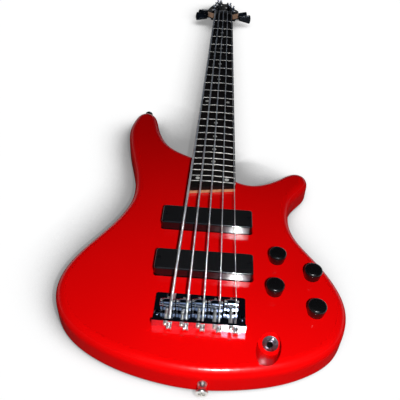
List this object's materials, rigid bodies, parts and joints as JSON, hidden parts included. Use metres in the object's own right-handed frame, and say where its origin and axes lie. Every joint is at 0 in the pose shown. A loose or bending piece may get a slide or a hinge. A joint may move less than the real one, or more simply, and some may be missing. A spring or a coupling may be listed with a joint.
{
  "type": "electric bass guitar",
  "caption": "Solid-body electric bass guitar with offset double cutaway, bolt-on fretted neck, tilted headstock with tuning machines, soapbar pickups, bridge and controls",
  "frame": {"origin": "on the centreline at the bridge end of the scale, on the flat back of the body", "axes": "+X to the treble side, +Y to the headstock, +Z out of the front"},
  "size_m": [0.3446, 1.1292, 0.0616],
  "materials": {
    "red_lacquer": "gloss polyester lacquer over alder",
    "maple": "satin oil",
    "black_facing": "gloss black lacquer over veneer",
    "rosewood": "oiled",
    "fret_wire": "polished nickel silver",
    "pearl": "pearloid",
    "black_nut": "graphite-filled",
    "rod_steel": "plain steel",
    "black_plastic": "satin black ABS",
    "bright_screws": "nickel-plated steel",
    "bridge_chrome": "chrome-plated brass and steel",
    "string_steel": "roundwound nickel-plated steel",
    "spring_steel": "spring wire",
    "black_metal": "black plating",
    "pot_steel": "zinc-plated steel",
    "battery_case": "printed steel can, left plain",
    "circuit_board": "solder mask",
    "lead_sleeve": "PVC sleeve",
    "coil_block": "copper wire and magnets potted in resin"
  },
  "bodies": {
    "bass": {"body": "red_lacquer", "neck": "maple", "headstock_face": "black_facing", "fretboard": "rosewood", "frets": "fret_wire", "position_dots": "pearl", "nut": "black_nut", "truss_rod": "rod_steel", "truss_rod_cover": "black_plastic", "cover_screws": "bright_screws", "neck_screws": "bright_screws", "neck_ferrules": "bridge_chrome", "bridge_plate": "bridge_chrome", "bridge_screws": "bright_screws", "saddle_springs": "spring_steel", "string_b": "string_steel", "string_e": "string_steel", "string_a": "string_steel", "string_d": "string_steel", "string_g": "string_steel", "tuner_housings": "black_metal", "tuner_bushings": "black_metal", "tuner_screws": "bright_screws", "pots": "pot_steel", "pot_nuts": "bridge_chrome", "control_cover": "black_plastic", "battery": "battery_case", "preamp_board": "circuit_board", "pickup_leads": "lead_sleeve", "jack_socket": "bridge_chrome", "tail_strap_button": "bridge_chrome", "horn_strap_button": "black_metal"},
    "tuner_key_b": {"tuner_key_b": "black_metal"},
    "tuner_post_b": {"tuner_post_b": "black_metal"},
    "saddle_b": {"saddle_b": "bridge_chrome"},
    "intonation_screw_b": {"intonation_screw_b": "bright_screws"},
    "tuner_key_e": {"tuner_key_e": "black_metal"},
    "tuner_post_e": {"tuner_post_e": "black_metal"},
    "saddle_e": {"saddle_e": "bridge_chrome"},
    "intonation_screw_e": {"intonation_screw_e": "bright_screws"},
    "tuner_key_a": {"tuner_key_a": "black_metal"},
    "tuner_post_a": {"tuner_post_a": "black_metal"},
    "saddle_a": {"saddle_a": "bridge_chrome"},
    "intonation_screw_a": {"intonation_screw_a": "bright_screws"},
    "tuner_key_d": {"tuner_key_d": "black_metal"},
    "tuner_post_d": {"tuner_post_d": "black_metal"},
    "saddle_d": {"saddle_d": "bridge_chrome"},
    "intonation_screw_d": {"intonation_screw_d": "bright_screws"},
    "tuner_key_g": {"tuner_key_g": "black_metal"},
    "tuner_post_g": {"tuner_post_g": "black_metal"},
    "saddle_g": {"saddle_g": "bridge_chrome"},
    "intonation_screw_g": {"intonation_screw_g": "bright_screws"},
    "knob_front": {"knob_front": "black_plastic"},
    "knob_rear": {"knob_rear": "black_plastic"},
    "knob_outer_front": {"knob_outer_front": "black_plastic"},
    "knob_outer_rear": {"knob_outer_rear": "black_plastic"},
    "neck_pickup": {"neck_pickup_cover": "black_plastic", "neck_pickup_coils": "coil_block"},
    "bridge_pickup": {"bridge_pickup_cover": "black_plastic", "bridge_pickup_coils": "coil_block"}
  },
  "joints": [
    {"name": "tuner_key_b_turn", "type": "hinge", "parent": "bass", "child": "tuner_key_b", "pos_m": [-0.02052, 0.91258, 0.02032], "axis": [-1, 0, 0], "range_deg": [-3600, 3600]},
    {"name": "tuner_post_b_turn", "type": "hinge", "parent": "bass", "child": "tuner_post_b", "pos_m": [-0.02052, 0.90572, 0.03711], "axis": [0, 0.2079, 0.9781], "range_deg": [-180, 180]},
    {"name": "intonation_screw_b_turn", "type": "hinge", "parent": "bass", "child": "intonation_screw_b", "pos_m": [-0.0408, -0.033, 0.0485], "axis": [0, 1, 0], "range_deg": [-2700, 2700]},
    {"name": "saddle_b_slide", "type": "slide", "parent": "bass", "child": "saddle_b", "axis": [0, 1, 0], "range_m": [-0.003, 0.003], "deforming": ["string_b", "saddle_springs"]},
    {"name": "tuner_key_e_turn", "type": "hinge", "parent": "bass", "child": "tuner_key_e", "pos_m": [-0.01649, 0.95373, 0.01157], "axis": [-1, 0, 0], "range_deg": [-3600, 3600]},
    {"name": "tuner_post_e_turn", "type": "hinge", "parent": "bass", "child": "tuner_post_e", "pos_m": [-0.01649, 0.94688, 0.02836], "axis": [0, 0.2079, 0.9781], "range_deg": [-180, 180]},
    {"name": "intonation_screw_e_turn", "type": "hinge", "parent": "bass", "child": "intonation_screw_e", "pos_m": [-0.0228, -0.033, 0.0485], "axis": [0, 1, 0], "range_deg": [-2700, 2700]},
    {"name": "saddle_e_slide", "type": "slide", "parent": "bass", "child": "saddle_e", "axis": [0, 1, 0], "range_m": [-0.003, 0.003], "deforming": ["string_e", "saddle_springs"]},
    {"name": "tuner_key_a_turn", "type": "hinge", "parent": "bass", "child": "tuner_key_a", "pos_m": [-0.01201, 0.99489, 0.00282], "axis": [-1, 0, 0], "range_deg": [-3600, 3600]},
    {"name": "tuner_post_a_turn", "type": "hinge", "parent": "bass", "child": "tuner_post_a", "pos_m": [-0.01201, 0.98803, 0.01961], "axis": [0, 0.2079, 0.9781], "range_deg": [-180, 180]},
    {"name": "intonation_screw_a_turn", "type": "hinge", "parent": "bass", "child": "intonation_screw_a", "pos_m": [-0.0048, -0.033, 0.0485], "axis": [0, 1, 0], "range_deg": [-2700, 2700]},
    {"name": "saddle_a_slide", "type": "slide", "parent": "bass", "child": "saddle_a", "axis": [0, 1, 0], "range_m": [-0.003, 0.003], "deforming": ["string_a", "saddle_springs"]},
    {"name": "tuner_key_d_turn", "type": "hinge", "parent": "bass", "child": "tuner_key_d", "pos_m": [0.01292, 0.95777, 0.01071], "axis": [1, 0, 0], "range_deg": [-3600, 3600]},
    {"name": "tuner_post_d_turn", "type": "hinge", "parent": "bass", "child": "tuner_post_d", "pos_m": [0.01292, 0.95091, 0.0275], "axis": [0, 0.2079, 0.9781], "range_deg": [-180, 180]},
    {"name": "intonation_screw_d_turn", "type": "hinge", "parent": "bass", "child": "intonation_screw_d", "pos_m": [0.0132, -0.033, 0.0485], "axis": [0, 1, 0], "range_deg": [-2700, 2700]},
    {"name": "saddle_d_slide", "type": "slide", "parent": "bass", "child": "saddle_d", "axis": [0, 1, 0], "range_m": [-0.003, 0.003], "deforming": ["string_d", "saddle_springs"]},
    {"name": "tuner_key_g_turn", "type": "hinge", "parent": "bass", "child": "tuner_key_g", "pos_m": [0.02052, 0.91064, 0.02073], "axis": [1, 0, 0], "range_deg": [-3600, 3600]},
    {"name": "tuner_post_g_turn", "type": "hinge", "parent": "bass", "child": "tuner_post_g", "pos_m": [0.02052, 0.90378, 0.03752], "axis": [0, 0.2079, 0.9781], "range_deg": [-180, 180]},
    {"name": "intonation_screw_g_turn", "type": "hinge", "parent": "bass", "child": "intonation_screw_g", "pos_m": [0.0312, -0.033, 0.0485], "axis": [0, 1, 0], "range_deg": [-2700, 2700]},
    {"name": "saddle_g_slide", "type": "slide", "parent": "bass", "child": "saddle_g", "axis": [0, 1, 0], "range_m": [-0.003, 0.003], "deforming": ["string_g", "saddle_springs"]},
    {"name": "knob_front_turn", "type": "hinge", "parent": "bass", "child": "knob_front", "pos_m": [0.08806, 0.07913, 0.04], "axis": [0, 0, 1], "range_deg": [-140, 140]},
    {"name": "knob_rear_turn", "type": "hinge", "parent": "bass", "child": "knob_rear", "pos_m": [0.08256, 0.02797, 0.04], "axis": [0, 0, 1], "range_deg": [-140, 140]},
    {"name": "knob_outer_front_turn", "type": "hinge", "parent": "bass", "child": "knob_outer_front", "pos_m": [0.13003, 0.05544, 0.04], "axis": [0, 0, 1], "range_deg": [-140, 140]},
    {"name": "knob_outer_rear_turn", "type": "hinge", "parent": "bass", "child": "knob_outer_rear", "pos_m": [0.12883, 0.00101, 0.04], "axis": [0, 0, 1], "range_deg": [-140, 140]},
    {"name": "neck_pickup_height", "type": "slide", "parent": "bass", "child": "neck_pickup", "axis": [0, 0, 1], "range_m": [-0.002, 0.001]},
    {"name": "bridge_pickup_height", "type": "slide", "parent": "bass", "child": "bridge_pickup", "axis": [0, 0, 1], "range_m": [-0.002, 0.001]}
  ],
  "couplings": [
    {"joint": "tuner_post_b_turn", "follows": "tuner_key_b_turn", "ratio": 0.05},
    {"joint": "intonation_screw_b_turn", "follows": "saddle_b_slide", "rad_per_m": 12566},
    {"joint": "tuner_post_e_turn", "follows": "tuner_key_e_turn", "ratio": 0.05},
    {"joint": "intonation_screw_e_turn", "follows": "saddle_e_slide", "rad_per_m": 12566},
    {"joint": "tuner_post_a_turn", "follows": "tuner_key_a_turn", "ratio": 0.05},
    {"joint": "intonation_screw_a_turn", "follows": "saddle_a_slide", "rad_per_m": 12566},
    {"joint": "tuner_post_d_turn", "follows": "tuner_key_d_turn", "ratio": 0.05},
    {"joint": "intonation_screw_d_turn", "follows": "saddle_d_slide", "rad_per_m": 12566},
    {"joint": "tuner_post_g_turn", "follows": "tuner_key_g_turn", "ratio": 0.05},
    {"joint": "intonation_screw_g_turn", "follows": "saddle_g_slide", "rad_per_m": 12566}
  ]
}
